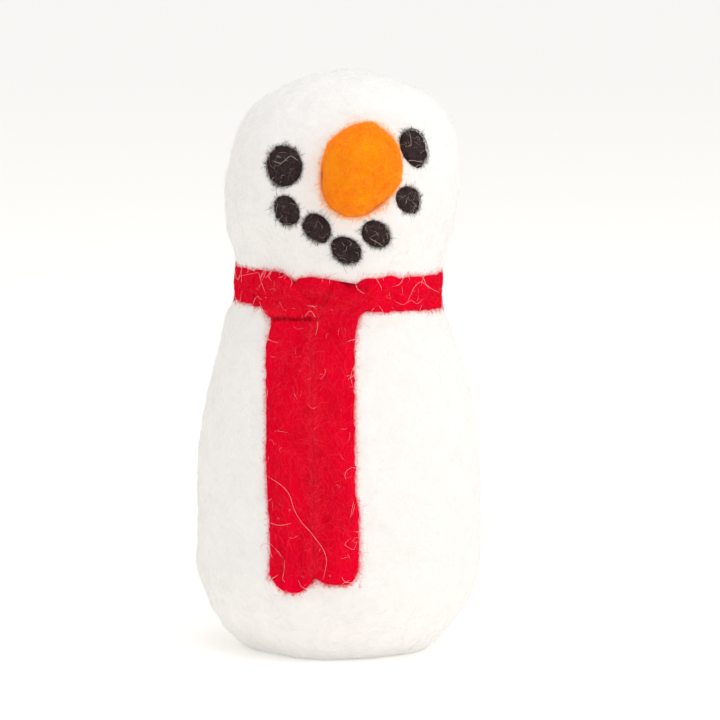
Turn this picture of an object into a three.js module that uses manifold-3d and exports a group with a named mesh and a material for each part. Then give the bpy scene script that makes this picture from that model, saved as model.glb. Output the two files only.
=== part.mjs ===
// Felted wool snowman: a flat-footed body and a domed head of white wool over firm undyed
// cores, an orange nose, two eyes and a smile of five coals in black wool, and a red scarf
// wound round the neck with two tails lying down the front.
// Millimetres, +Z up, the face looks along -Y, origin at the centre of the flat foot.

import * as THREE from 'three';
import { mergeVertices } from 'three/addons/utils/BufferGeometryUtils.js';
import Module from 'manifold-3d';

const wasm = await Module();
wasm.setup();

// ---- Driving dimensions ----

const FOOT_RADIUS = 14.0; // the flat foot it stands on
const BELLY_RADIUS = 22.2; // the widest part of the body
const BELLY_HEIGHT = 14.6; // from the floor up to the widest part
const BODY_HEIGHT = 56.1; // from the floor to the pinch of the neck
const NECK_RADIUS = 15.7; // at the pinch, before the scarf's seat is pressed in
const HEAD_RADIUS = 18.2; // the widest part of the head
const CHEEK_RISE = 14.3; // from the pinch of the neck to the widest part of the head
const DOME_HEIGHT = 19.0; // from the widest part of the head to the crown
const BODY_LEAN = 0.15; // how far the body's middle stands beside the foot's middle
const CROWN_LEAN = 1.8; // how far the crown leans beside the body's middle
const CROWN_LEAN_BIAS = 1.3; // 1 is a straight lean, more leaves it to the crown
const NECK_SLOPE = 0.035; // the neck falls this much for each millimetre to the right
const FOOT_ROUNDNESS = 1.8; // 1 is a plain ellipse quarter, more pulls the foot in
const TAPER_BIAS = 1.95; // more keeps the belly full higher up
const NECK_TUCK = 1.8; // more draws the wool in more sharply just below the scarf
const NECK_TUCK_BIAS = 5; // more keeps that to the last stretch below the scarf
const DOME_SQUARENESS = 2.4; // 2 is an ellipse, more is a squarer crown

const COVER_WALL = 3.5; // white wool over the cores
const GAP = 0.3; // clearance between pieces that touch

const SCARF_WIDTH = 4.8; // the band round the neck, top edge to bottom edge
const SCARF_THICKNESS = 1.5;
const SCARF_SEAT = 1.5; // how deep the band is pressed into the neck
const SEAT_MARGIN = 1.0; // how far the seat runs out beyond the band's edges
const SEAT_SHARPNESS = 3; // more gives the seat a flatter floor and steeper sides
const BAND_SQUARENESS = 0.7; // 1 is an oval section, less is a squarer one
const TAIL_THICKNESS = 1.2; // tails and crossover
const TAIL_OUTER_EDGE = -12.4; // round the body from the front middle, to the viewer's left
const TAIL_SPLIT = -5.6; // where the two tails meet
const TAIL_INNER_EDGE = 0.6;
const LEFT_TAIL_LENGTH = 44.5; // down the body from the pinch of the neck
const RIGHT_TAIL_LENGTH = 43.3;
const TAIL_CORNER = 2.2; // radius of the lower corners
const SPLIT_BEND = 4.0; // length of the bend where the tails meet below the crossover's tip
const CROSSOVER_START = -14.2; // round the neck from the front middle
const CROSSOVER_END = -3.9;
const CROSSOVER_DROP = 1.3; // how far it hangs below the band
const CROSSOVER_TIP = 0.35; // the share of its length that keeps the band's full width

const NOSE_LENGTH = 14.0;
const NOSE_WIDTH = 11.5;
const NOSE_PROJECTION = 8.5;
const NOSE_SINK = 1.2; // how far its widest section lies inside the head
const NOSE_BACK = 1.0; // how deep its back is, behind that section
const EYE_LENGTH = 6.1;
const LEFT_EYE_WIDTH = 6.1;
const RIGHT_EYE_WIDTH = 4.6;
const COAL_LENGTH = 4.8;
const COAL_WIDTH = 3.6;
const DOT_PROJECTION = 0.5; // how far eyes and coals stand out of the head
const DOT_DEPTH = 1.1; // how deep eyes and coals are set in

// Places on the face are millimetres along the wool: across from the front middle, and up
// from the scarf's top edge. A tilt turns the long axis anticlockwise, in degrees.
const NOSE_ACROSS = 0.9;
const NOSE_LIFT = 10.3; // from the scarf's top edge to the nose's lower end
const NOSE_TILT = -20;
const LEFT_EYE = { fromNose: 3.6, up: 17.45, tilt: -4 }; // from the nose's side to the eye's
const RIGHT_EYE = { fromNose: 0.75, up: 20.7, tilt: 30 };

// The smile starts at its lowest coal. A coal beside another lies `gap` beyond it, in the
// direction `heading`, in degrees anticlockwise from the viewer's right.
const LOWEST_COAL = { across: -0.75, up: 4.7, tilt: 57 };
const LEFT_COAL = { heading: 144, gap: 1.0, tilt: 39 };
const LEFT_END_COAL = { heading: 153, gap: 0.8, tilt: 40 };
const RIGHT_COAL = { heading: 31, gap: 0.45, tilt: 50 };
const RIGHT_END_COAL = { fromNose: -0.25, up: 12.7, tilt: 62 };

// Facets: how finely each kind of piece is divided.
const COVER_SIDES = 40;
const CORE_SIDES = 28;
const BAND_SIDES = 48;
const BAND_SECTION_SIDES = 12;
const PAD_SIDES = 18;
const PAD_RINGS = 10;
const BODY_RINGS = 14;
const HEAD_RINGS = 13;
const SEAT_RINGS = 5; // in half the seat's width
const STRIP_COLUMNS = 5; // across a tail or the crossover
const TAIL_ROWS = 28;
const CROSSOVER_ROWS = 14;
const MERGE_DISTANCE = 1e-4; // corners this close are one

// ---- Outline of the figure ----

// A smooth fall from 1 at share 0 to 0 at share 1.
const ease = (share) => (1 + Math.cos(Math.PI * THREE.MathUtils.clamp(share, 0, 1))) / 2;
const mix = THREE.MathUtils.lerp;

class FormulaCurve extends THREE.Curve {
  constructor(formula) {
    super();
    this.formula = formula;
  }
  getPoint(t, target = new THREE.Vector2()) {
    return target.set(...this.formula(t));
  }
}

function pathOf(...formulas) {
  const path = new THREE.CurvePath();
  formulas.forEach((formula) => path.add(new FormulaCurve(formula)));
  return path;
}

// Each formula runs upwards and gives radius and height.
const footToBelly = (t) => {
  const angle = (t * Math.PI) / 2;
  const spread = Math.sin(angle) ** FOOT_ROUNDNESS;
  return [mix(FOOT_RADIUS, BELLY_RADIUS, spread), BELLY_HEIGHT * (1 - Math.cos(angle))];
};
const bellyToNeck = (t) => [
  mix(NECK_RADIUS, BELLY_RADIUS, ease(t ** (TAPER_BIAS + NECK_TUCK * t ** NECK_TUCK_BIAS))),
  mix(BELLY_HEIGHT, BODY_HEIGHT, t),
];
const neckToCheek = (t) => [mix(HEAD_RADIUS, NECK_RADIUS, ease(t)), BODY_HEIGHT + CHEEK_RISE * t];
const cheekToCrown = (t) => {
  const angle = (t * Math.PI) / 2;
  const power = 2 / DOME_SQUARENESS;
  const reach = Math.max(Math.cos(angle), 0) ** power;
  return [HEAD_RADIUS * reach, BODY_HEIGHT + CHEEK_RISE + DOME_HEIGHT * Math.sin(angle) ** power];
};

const bodyOutline = pathOf(footToBelly, bellyToNeck);
const headOutline = pathOf(neckToCheek, cheekToCrown);
const bodyLength = bodyOutline.getLength();
const headLength = headOutline.getLength();

// How deep the scarf's seat is at this distance from the pinch of the neck.
const SEAT_HALF_WIDTH = SCARF_WIDTH / 2 + SEAT_MARGIN;
const seatDepth = (up) => SCARF_SEAT * ease((Math.abs(up) / SEAT_HALF_WIDTH) ** SEAT_SHARPNESS);

// The place on the outline that is `up` millimetres along the wool from the neck's pinch,
// negative down the body, and `out` millimetres proud of it: [radius, height].
function onOutline(up, out) {
  const [outline, t] = up < 0
    ? [bodyOutline, 1 + up / bodyLength]
    : [headOutline, up / headLength];
  const point = outline.getPoint(t);
  const tangent = outline.getTangent(t);
  return [point.x + out * tangent.y, point.y - out * tangent.x];
}

// The same place `across` millimetres round from the front middle, as a point in space.
function onSkin(across, up, out) {
  const [radius, height] = onOutline(up, out);
  const angle = across / onOutline(up, 0)[0];
  return new THREE.Vector3(radius * Math.sin(angle), -radius * Math.cos(angle), height);
}

// How far the figure's middle stands beside the foot's middle at this height.
function lean(height) {
  const inBody = BODY_LEAN * (1 - ease(height / BELLY_HEIGHT));
  const share = (height - BODY_HEIGHT) / (CHEEK_RISE + DOME_HEIGHT);
  return inBody + CROWN_LEAN * THREE.MathUtils.clamp(share, 0, 1) ** CROWN_LEAN_BIAS;
}

// How far the wool is pulled down at this place by the slope of the neck, which fades out
// at the belly and as far above the neck.
function neckFall(across, height) {
  const reach = BODY_HEIGHT - BELLY_HEIGHT;
  return NECK_SLOPE * across * ease(Math.abs(height - BODY_HEIGHT) / reach);
}

// ---- Making solids ----

function moveVertices(geometry, move) {
  const position = geometry.attributes.position;
  const vertex = new THREE.Vector3();
  for (let i = 0; i < position.count; i += 1) {
    move(vertex.fromBufferAttribute(position, i));
    position.setXYZ(i, vertex.x, vertex.y, vertex.z);
  }
  return geometry;
}

// The last step for every piece, so that neighbours lean and slope together.
const leanOver = (geometry) => moveVertices(geometry, (v) => {
  v.set(v.x + lean(v.z), v.y, v.z - neckFall(v.x, v.z));
});

// A turned solid from a list of [radius, height].
function turned(profile, sides) {
  const points = profile.map(([radius, height]) => new THREE.Vector2(radius, height));
  return leanOver(new THREE.LatheGeometry(points, sides).rotateX(Math.PI / 2));
}

// Evenly spaced steps from one value to another.
const steps = (from, to, count) => Array.from({ length: count + 1 }, (_, i) => mix(from, to, i / count));

// A solid laid on the wool. `place` turns a vertex of the flat shape into across, up, out.
function laidOnSkin(geometry, place) {
  moveVertices(geometry, (v) => v.copy(onSkin(...place(v))));
  return leanOver(geometry);
}

// An oval pad, with a front and a back of different depths, turned by its tilt. `extra`
// grows it all round, for its pocket.
function pad({ width, length, front, back }, tilt, extra) {
  const oval = moveVertices(new THREE.SphereGeometry(1, PAD_SIDES, PAD_RINGS), (v) => v.set(
    v.x * (width / 2 + extra),
    v.y * (length / 2 + extra),
    v.z * ((v.z > 0 ? front : back) + extra),
  ));
  return oval.rotateZ(THREE.MathUtils.degToRad(tilt));
}

// An eye or a coal: a pad bent round the head, half in and half out of the wool.
const DOT_DEPTHS = { front: DOT_PROJECTION, back: DOT_DEPTH };
const dot = (width, length) => ({ across, up, tilt }, extra = 0) => laidOnSkin(
  pad({ width, length, ...DOT_DEPTHS }, tilt, extra),
  (v) => [across + v.x, SCARF_WIDTH / 2 + up + v.y, v.z],
);

// The nose keeps its own shape and stands square to the head, with its back sunk in.
function nose({ across, up, tilt }, extra = 0) {
  const height = SCARF_WIDTH / 2 + up;
  const seat = onSkin(across, height, -NOSE_SINK);
  const outwards = onSkin(across, height, 0).sub(seat).normalize();
  const sideways = new THREE.Vector3(-outwards.y, outwards.x, 0).normalize();
  const upwards = outwards.clone().cross(sideways);
  const front = NOSE_PROJECTION + NOSE_SINK;
  const size = { width: NOSE_WIDTH, length: NOSE_LENGTH, front, back: NOSE_BACK };
  const stand = new THREE.Matrix4().makeBasis(sideways, upwards, outwards).setPosition(seat);
  return leanOver(pad(size, tilt, extra).applyMatrix4(stand));
}

function toManifold(geometry) {
  const bare = geometry.clone();
  bare.deleteAttribute('normal');
  bare.deleteAttribute('uv');
  const merged = mergeVertices(bare, MERGE_DISTANCE);
  const corners = [];
  for (let i = 0; i < merged.index.count; i += 3) {
    const [a, b, c] = [0, 1, 2].map((k) => merged.index.getX(i + k));
    if (a !== b && b !== c && c !== a) corners.push(a, b, c);
  }
  return new wasm.Manifold(new wasm.Mesh({
    numProp: 3,
    vertProperties: merged.attributes.position.array,
    triVerts: new Uint32Array(corners),
  }));
}

function fromManifold(solid) {
  const { vertProperties, triVerts } = solid.getMesh();
  const geometry = new THREE.BufferGeometry();
  geometry.setAttribute('position', new THREE.BufferAttribute(vertProperties, 3));
  geometry.setIndex(new THREE.BufferAttribute(triVerts, 1));
  geometry.computeVertexNormals();
  return geometry;
}

const cutAway = (geometry, tools) => fromManifold(
  tools.reduce((solid, tool) => solid.subtract(toManifold(tool)), toManifold(geometry)),
);

// ---- White wool and its cores ----

// Steps along the wool, closer together where they follow the scarf's seat.
const bodySteps = [
  ...steps(-bodyLength, -SEAT_HALF_WIDTH, BODY_RINGS),
  ...steps(-SEAT_HALF_WIDTH, 0, SEAT_RINGS).slice(1),
];
const headSteps = [
  ...steps(GAP, SEAT_HALF_WIDTH, SEAT_RINGS).slice(0, -1),
  ...steps(SEAT_HALF_WIDTH, headLength, HEAD_RINGS),
];

// The wool's surface with the scarf's seat pressed in, or the surface `inset` behind it.
const woolSurface = (ups, inset = 0) => ups.map((up) => onOutline(up, -seatDepth(up) - inset));

// The body's surface `inset` behind the wool, from the axis out to the neck. Where it would
// turn back under itself at the foot, it stays level.
function bodyInside(inset) {
  const side = woolSurface(bodySteps, inset).filter(([, height]) => height > inset);
  return [[0, inset], ...side];
}

// The head's surface `inset` behind the wool, from the neck up to the axis.
function headInside(inset) {
  const side = woolSurface(headSteps, inset);
  const [, crown] = side.pop();
  return [...side, [0, crown]];
}

function bodyCover() {
  const outside = [[0, 0], ...woolSurface(bodySteps)];
  return turned([...outside, ...bodyInside(COVER_WALL).reverse()], COVER_SIDES);
}

const bodyCore = () => turned([...bodyInside(COVER_WALL + GAP), [0, BODY_HEIGHT]], CORE_SIDES);

function headCover(pockets) {
  const shell = turned([...headInside(COVER_WALL).reverse(), ...headInside(0)], COVER_SIDES);
  return cutAway(shell, pockets);
}

const headCore = () => turned([[0, BODY_HEIGHT + GAP], ...headInside(COVER_WALL + GAP)], CORE_SIDES);

// ---- Face ----

// Where something stands whose middle is `clear` millimetres from the nose's side, towards
// the viewer's right (1) or left (-1).
const besideNose = (side, clear, { up, tilt }) => (
  { across: NOSE_ACROSS + side * (NOSE_WIDTH / 2 + clear), up, tilt });

function nextCoal({ across, up }, { heading, gap, tilt }) {
  const angle = THREE.MathUtils.degToRad(heading);
  const step = COAL_LENGTH + gap;
  return { across: across + step * Math.cos(angle), up: up + step * Math.sin(angle), tilt };
}

const nosePlace = { across: NOSE_ACROSS, up: NOSE_LIFT + NOSE_LENGTH / 2, tilt: NOSE_TILT };
const leftEyePlace = besideNose(-1, LEFT_EYE.fromNose + LEFT_EYE_WIDTH / 2, LEFT_EYE);
const rightEyePlace = besideNose(1, RIGHT_EYE.fromNose + RIGHT_EYE_WIDTH / 2, RIGHT_EYE);
const leftCoalPlace = nextCoal(LOWEST_COAL, LEFT_COAL);
const coalPlaces = [
  nextCoal(leftCoalPlace, LEFT_END_COAL),
  leftCoalPlace,
  LOWEST_COAL,
  nextCoal(LOWEST_COAL, RIGHT_COAL),
  besideNose(1, RIGHT_END_COAL.fromNose + COAL_LENGTH / 2, RIGHT_END_COAL),
];

const leftEye = dot(LEFT_EYE_WIDTH, EYE_LENGTH);
const rightEye = dot(RIGHT_EYE_WIDTH, EYE_LENGTH);
const coal = dot(COAL_WIDTH, COAL_LENGTH);
const facePieces = [
  { name: 'nose', finish: 'orange', shape: nose, place: nosePlace },
  { name: 'eye_left', finish: 'black', shape: leftEye, place: leftEyePlace },
  { name: 'eye_right', finish: 'black', shape: rightEye, place: rightEyePlace },
  ...coalPlaces.map((place, i) => (
    { name: `mouth_coal_${i + 1}`, finish: 'black', shape: coal, place })),
];
const facePockets = facePieces.map(({ shape, place }) => shape(place, GAP));

// ---- Scarf ----

// The band's section is an oval that follows the seat it lies in.
function neckBand() {
  const section = steps(0, 2 * Math.PI, BAND_SECTION_SIDES).slice(0, -1).map((angle) => {
    const rise = Math.sin(angle);
    const up = (SCARF_WIDTH / 2) * Math.sign(rise) * Math.abs(rise) ** BAND_SQUARENESS;
    const share = (1 + Math.cos(angle)) / 2;
    return onOutline(up, GAP - seatDepth(up) + SCARF_THICKNESS * share);
  });
  return turned([...section, section[0]], BAND_SIDES);
}

// How much higher a strip lies where it crosses the band, which may stand out of its seat.
const BAND_PROUD = Math.max(SCARF_THICKNESS + GAP - SCARF_SEAT, 0);
const liftOverBand = (up) => BAND_PROUD * (seatDepth(up) / SCARF_SEAT);

// A strip between two edges, lying just clear of the wool and the band. Both edges are given as
// [across, up] at a share of the way along the strip.
function strip(edgeA, edgeB, rows) {
  const flat = new THREE.BoxGeometry(1, 1, 1, STRIP_COLUMNS, rows, 1);
  return laidOnSkin(flat, (v) => {
    const along = 0.5 - v.y;
    const [acrossA, upA] = edgeA(along);
    const [acrossB, upB] = edgeB(along);
    const up = mix(upA, upB, v.x + 0.5);
    const out = GAP + liftOverBand(up) + (v.z > 0 ? TAIL_THICKNESS : 0);
    return [mix(acrossA, acrossB, v.x + 0.5), up, out];
  });
}

// How far a strip's side draws in, this far from its lower end, to round its corner.
function cornerInset(fromEnd) {
  const share = THREE.MathUtils.clamp(1 - fromEnd / TAIL_CORNER, 0, 1);
  return TAIL_CORNER * (1 - Math.sqrt(1 - share ** 2));
}

const CROSSOVER_FOOT = -SCARF_WIDTH / 2 - CROSSOVER_DROP;

// The line between the two tails bends round the crossover's tip.
function tailSplit(up) {
  const past = ease((CROSSOVER_FOOT - up) / SPLIT_BEND);
  return mix(TAIL_SPLIT, CROSSOVER_END + GAP, past);
}

function tailLeft() {
  const top = CROSSOVER_FOOT - GAP;
  const up = (share) => mix(top, -LEFT_TAIL_LENGTH, share);
  const corner = (share) => cornerInset(up(share) + LEFT_TAIL_LENGTH);
  return strip(
    (share) => [TAIL_OUTER_EDGE + corner(share), up(share)],
    (share) => [tailSplit(up(share)) - GAP - corner(share), up(share)],
    TAIL_ROWS,
  );
}

function tailRight() {
  const up = (share) => mix(SCARF_WIDTH / 2, -RIGHT_TAIL_LENGTH, share);
  const corner = (share) => cornerInset(up(share) + RIGHT_TAIL_LENGTH);
  return strip(
    (share) => [tailSplit(up(share)) + corner(share), up(share)],
    (share) => [TAIL_INNER_EDGE - corner(share), up(share)],
    TAIL_ROWS,
  );
}

// The strand that comes round the neck and crosses down over the band to the tails.
function crossover() {
  const tipTop = CROSSOVER_FOOT + TAIL_THICKNESS;
  const across = (share) => mix(CROSSOVER_START, CROSSOVER_END, share);
  const rise = (share) => ease((share - CROSSOVER_TIP) / (1 - CROSSOVER_TIP));
  const upper = (share) => mix(tipTop, SCARF_WIDTH / 2, rise(share));
  const lower = (share) => mix(CROSSOVER_FOOT, -SCARF_WIDTH / 2, ease(share / CROSSOVER_TIP));
  return strip(
    (share) => [across(share), lower(share)],
    (share) => [across(share), upper(share)],
    CROSSOVER_ROWS,
  );
}

// ---- Finishes and assembly ----

const wool = (color) => new THREE.MeshStandardMaterial({ color, roughness: 0.95, metalness: 0 });
const finishes = {
  core: wool('#e6ddcb'),
  white: wool('#f7f4f0'),
  orange: wool('#fb9119'),
  black: wool('#41373a'),
  red: wool('#dd0a33'),
};

const snowman = new THREE.Group();

function add(name, geometry, finish) {
  const mesh = new THREE.Mesh(geometry, finishes[finish]);
  mesh.name = name;
  snowman.add(mesh);
}

add('body_core', bodyCore(), 'core');
add('head_core', headCore(), 'core');
add('body_cover', bodyCover(), 'white');
add('head_cover', headCover(facePockets), 'white');
facePieces.forEach(({ name, finish, shape, place }) => add(name, shape(place), finish));
add('scarf_neck_band', neckBand(), 'red');
add('scarf_crossover', crossover(), 'red');
add('scarf_tail_left', tailLeft(), 'red');
add('scarf_tail_right', tailRight(), 'red');

export default snowman;
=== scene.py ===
"""A felted wool snowman: white wool over firm cores, an orange nose, black eyes and a smile of
five coals, and a red scarf felted on round the neck with two tails down the front."""

import bpy
import numpy as np
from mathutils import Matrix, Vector


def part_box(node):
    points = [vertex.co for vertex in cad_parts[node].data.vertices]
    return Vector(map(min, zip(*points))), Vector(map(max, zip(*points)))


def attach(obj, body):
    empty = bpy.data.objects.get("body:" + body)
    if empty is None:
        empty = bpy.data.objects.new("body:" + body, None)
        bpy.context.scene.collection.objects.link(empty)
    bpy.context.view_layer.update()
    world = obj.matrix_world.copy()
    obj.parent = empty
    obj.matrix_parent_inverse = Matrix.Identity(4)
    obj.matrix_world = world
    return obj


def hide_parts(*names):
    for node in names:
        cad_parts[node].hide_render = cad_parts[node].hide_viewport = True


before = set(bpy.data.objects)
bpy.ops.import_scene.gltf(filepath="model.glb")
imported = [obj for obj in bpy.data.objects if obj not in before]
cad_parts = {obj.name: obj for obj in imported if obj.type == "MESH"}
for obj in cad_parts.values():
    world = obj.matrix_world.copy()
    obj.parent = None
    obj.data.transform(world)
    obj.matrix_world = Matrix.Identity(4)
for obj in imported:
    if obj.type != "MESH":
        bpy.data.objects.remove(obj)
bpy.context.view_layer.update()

# ---- Sizes, in metres, from the frame ----

body_low, body_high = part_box("body_cover")
head_low, head_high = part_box("head_cover")
band_low, band_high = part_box("scarf_neck_band")

HEIGHT = head_high.z
MM = HEIGHT / 89.4  # a millimetre on a figure 89.4 mm tall, so the fine sizes grow with it
BELLY_RADIUS = (body_high.y - body_low.y) / 2
HEAD_RADIUS = (head_high.y - head_low.y) / 2
NECK_HEIGHT = (band_low.z + band_high.z) / 2  # the pinch of the neck, under the band
BODY_LEAN = (body_low.x + body_high.x) / 2  # the body's middle, beside the foot's middle

# Shares that give the outline its shape.
FOOT_RADIUS = 0.631 * BELLY_RADIUS
NECK_RADIUS = 0.707 * BELLY_RADIUS
BELLY_HEIGHT = 0.26 * NECK_HEIGHT
HEAD_RISE = HEIGHT - NECK_HEIGHT
CHEEK_RISE = 0.43 * HEAD_RISE
DOME_HEIGHT = HEAD_RISE - CHEEK_RISE
CROWN_LEAN = 0.1 * HEAD_RADIUS
CROWN_LEAN_BIAS = 1.3
NECK_SLOPE = 0.035
FOOT_ROUNDNESS = 1.8
TAPER_BIAS = 1.95
NECK_TUCK = 1.8
NECK_TUCK_BIAS = 5
DOME_SQUARENESS = 2.4
OUTLINE_STEPS = 1500  # in each of its four stretches

COVER_WALL = 3.5 * MM
SCARF_WIDTH = 4.8 * MM
SCARF_THICKNESS = 1.5 * MM
SCARF_SEAT = 1.5 * MM
SEAT_HALF_WIDTH = SCARF_WIDTH / 2 + 0.5 * MM
CLEAR = 0.05 * MM  # between pieces of felt that touch


# ---- The outline, and places on the wool ----

def ease(share):
    """Half a cosine wave, falling from 1 at share 0 to 0 at share 1."""
    return (1 + np.cos(np.pi * np.clip(share, 0, 1))) / 2


def rise(share):
    """Half a cosine wave, rising from 0 at share 0 to 1 at share 1."""
    return 1 - ease(share)


def mix(a, b, share):
    """From a at share 0 to b at share 1, in proportion."""
    return a + (b - a) * share


def outline_stretches(t):
    """Radius and height of the four stretches of the outline, foot to belly, belly to neck,
    neck to cheek and cheek to crown, each at shares t from its lower end: an ellipse quarter
    drawn in at the foot, two half cosine waves and a superellipse quarter."""
    angle = t * np.pi / 2
    spread = np.sin(angle) ** FOOT_ROUNDNESS
    power = 2 / DOME_SQUARENESS
    reach = np.maximum(np.cos(angle), 0) ** power
    taper = TAPER_BIAS + NECK_TUCK * t ** NECK_TUCK_BIAS
    return [
        (mix(FOOT_RADIUS, BELLY_RADIUS, spread), BELLY_HEIGHT * (1 - np.cos(angle))),
        (mix(NECK_RADIUS, BELLY_RADIUS, ease(t ** taper)), mix(BELLY_HEIGHT, NECK_HEIGHT, t)),
        (mix(HEAD_RADIUS, NECK_RADIUS, ease(t)), NECK_HEIGHT + CHEEK_RISE * t),
        (HEAD_RADIUS * reach, NECK_HEIGHT + CHEEK_RISE + DOME_HEIGHT * np.sin(angle) ** power),
    ]


def measured_outline():
    """Radius, height and unit tangent along the whole outline, with the distance along it from
    the pinch of the neck, negative down the body."""
    t = np.linspace(0, 1, OUTLINE_STEPS)
    parts = [np.stack(part, axis=1)[start:] for start, part in
             zip((0, 1, 1, 1), outline_stretches(t))]
    points = np.concatenate(parts)
    lengths = np.linalg.norm(np.diff(points, axis=0), axis=1)
    along = np.concatenate([[0], np.cumsum(lengths)])
    along -= along[len(parts[0]) + len(parts[1]) - 1]
    tangent = np.gradient(points, along, axis=0)
    tangent /= np.linalg.norm(tangent, axis=1)[:, None]
    return along, points, tangent


OUTLINE_ALONG, OUTLINE_POINTS, OUTLINE_TANGENT = measured_outline()
BODY_LENGTH = -OUTLINE_ALONG[0]
HEAD_LENGTH = OUTLINE_ALONG[-1]


def radius_at(up):
    """The outline's radius at a distance up from the pinch of the neck."""
    return np.interp(up, OUTLINE_ALONG, OUTLINE_POINTS[:, 0])


def lean_at(height):
    """How far the figure's middle lies beside the foot's at this height."""
    crown_share = np.clip((height - NECK_HEIGHT) / HEAD_RISE, 0, 1) ** CROWN_LEAN_BIAS
    return BODY_LEAN * rise(height / BELLY_HEIGHT) + CROWN_LEAN * crown_share


def fall_at(beside, height):
    """How far the neck's slope lowers a place to the right of the middle."""
    return NECK_SLOPE * beside * ease(np.abs(height - NECK_HEIGHT) / (NECK_HEIGHT - BELLY_HEIGHT))


def lean_over(points):
    """The figure's middle moves sideways with height, and the neck slopes down to the right."""
    x, y, z = points[..., 0], points[..., 1], points[..., 2]
    return np.stack([x + lean_at(z), y, z - fall_at(x, z)], axis=-1)


def on_wool(across, up, out):
    """The point `across` round from the front middle and `up` from the pinch of the neck, both
    measured along the wool, standing `out` proud of the plain outline."""
    across, up, out = np.broadcast_arrays(across, up, out)
    tangent_r = np.interp(up, OUTLINE_ALONG, OUTLINE_TANGENT[:, 0])
    tangent_z = np.interp(up, OUTLINE_ALONG, OUTLINE_TANGENT[:, 1])
    radius = radius_at(up) + out * tangent_z
    height = np.interp(up, OUTLINE_ALONG, OUTLINE_POINTS[:, 1]) - out * tangent_r
    angle = across / np.maximum(radius_at(up), 0.1 * MM)  # the outline ends in a point
    plain = np.stack([radius * np.sin(angle), -radius * np.cos(angle), height], axis=-1)
    return lean_over(plain)


def seat_depth(up):
    """How deep the scarf's seat is pressed in at this distance from the pinch of the neck."""
    return SCARF_SEAT * ease(np.abs(up) / SEAT_HALF_WIDTH)


def waves(points, size, seed, count=36):
    """Lumps about `size` across: a sum of cosine waves of random direction, length and phase,
    scaled to a spread of one."""
    rng = np.random.default_rng(seed)
    direction = rng.normal(size=(count, points.shape[-1]))
    direction /= np.linalg.norm(direction, axis=1)[:, None]
    pace = 2 * np.pi / (size * rng.uniform(1.2, 3.0, count))
    phase = rng.uniform(0, 2 * np.pi, count)
    flat = points.reshape(-1, points.shape[-1])
    total = np.zeros(len(flat))
    for d, k, p in zip(direction, pace, phase):
        total += np.cos(flat @ (d * k) + p)
    return (total * np.sqrt(2 / count)).reshape(points.shape[:-1])


def flat_place(across, up):
    """Places across and up as points on the flat, for waves()."""
    return np.stack(np.broadcast_arrays(across, up), axis=-1)


def unit_direction(vectors):
    """The same directions at length 1."""
    return vectors / np.maximum(np.linalg.norm(vectors, axis=-1, keepdims=True), 1e-9)


# ---- Where the face pieces sit ----

def place_on_wool(node):
    """Where the middle of a CAD node lies: its distance across and up along the wool."""
    low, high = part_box(node)
    middle = (np.array(low) + np.array(high)) / 2
    side = middle[0] - lean_at(middle[2])
    upright = middle[2] + fall_at(side, middle[2])
    up = np.interp(upright, OUTLINE_POINTS[:, 1], OUTLINE_ALONG)
    return np.arctan2(side, -middle[1]) * radius_at(up), up


class Spot:
    """A round or oval piece on the face: its place, its half width and half length along the
    wool, and the angle that its length leans anticlockwise from upright."""

    def __init__(self, node, half_width, half_length, tilt):
        self.node = node
        self.across, self.up = place_on_wool(node)
        self.half_width, self.half_length = half_width, half_length
        self.tilt = np.radians(tilt)

    def along_axes(self, across, up):
        """Sideways and lengthways distance from the middle, in half widths and half lengths."""
        dx, dy = across - self.across, up - self.up
        c, s = np.cos(self.tilt), np.sin(self.tilt)
        return (dx * c + dy * s) / self.half_width, (-dx * s + dy * c) / self.half_length

    def distance(self, across, up):
        """0 at the middle and 1 all round the edge."""
        return np.hypot(*self.along_axes(across, up))

    def outside(self, across, up):
        """How far a place lies outside the edge, sideways, negative inside it."""
        return (self.distance(across, up) - 1) * self.half_width

    def at(self, sideways, lengthways):
        """The place on the wool at a share of the half width and half length."""
        c, s = np.cos(self.tilt), np.sin(self.tilt)
        x, y = sideways * self.half_width, lengthways * self.half_length
        return self.across + x * c - y * s, self.up + x * s + y * c


NOSE_WIDTH = 11.5 * MM
NOSE_LENGTH = 14.0 * MM
NOSE_SEAT = 1.2 * MM  # how deep its widest ring lies in the wool
NOSE_DEPTH = 9.6 * MM  # from its widest ring to its tip
NOSE_BACK = 1.4 * MM
NOSE_PEAK = 0.6 * MM
NOSE_TILT = -20  # degrees anticlockwise from upright, as the others
EYE_LENGTH = 6.2 * MM
LEFT_EYE_WIDTH = 6.1 * MM
RIGHT_EYE_WIDTH = 4.6 * MM
EYE_TILTS = (-4, 30)
COAL_LENGTH = 4.9 * MM
COAL_WIDTH = 3.7 * MM
COAL_TILTS = (40, 39, 57, 50, 62)

nose_spot = Spot("nose", NOSE_WIDTH / 2, NOSE_LENGTH / 2, NOSE_TILT)
dot_spots = [
    Spot("eye_left", LEFT_EYE_WIDTH / 2, EYE_LENGTH / 2, EYE_TILTS[0]),
    Spot("eye_right", RIGHT_EYE_WIDTH / 2, EYE_LENGTH / 2, EYE_TILTS[1]),
]
for number, tilt in enumerate(COAL_TILTS, start=1):
    dot_spots.append(Spot(f"mouth_coal_{number}", COAL_WIDTH / 2, COAL_LENGTH / 2, tilt))

# Lumps in the white wool: how high and how far across, in millimetres, and a seed.
WOOL_LUMPS = [(0.16, 6, 3), (0.07, 2.2, 4), (0.025, 0.9, 5)]
DOT_RISE = 0.42 * MM  # how far a dot's middle stands proud
DOT_HOLLOW = 0.75 * MM  # how deep the white wool is needled in under a dot
NOSE_HOLLOW = 2.8 * MM  # and under the nose


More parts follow.
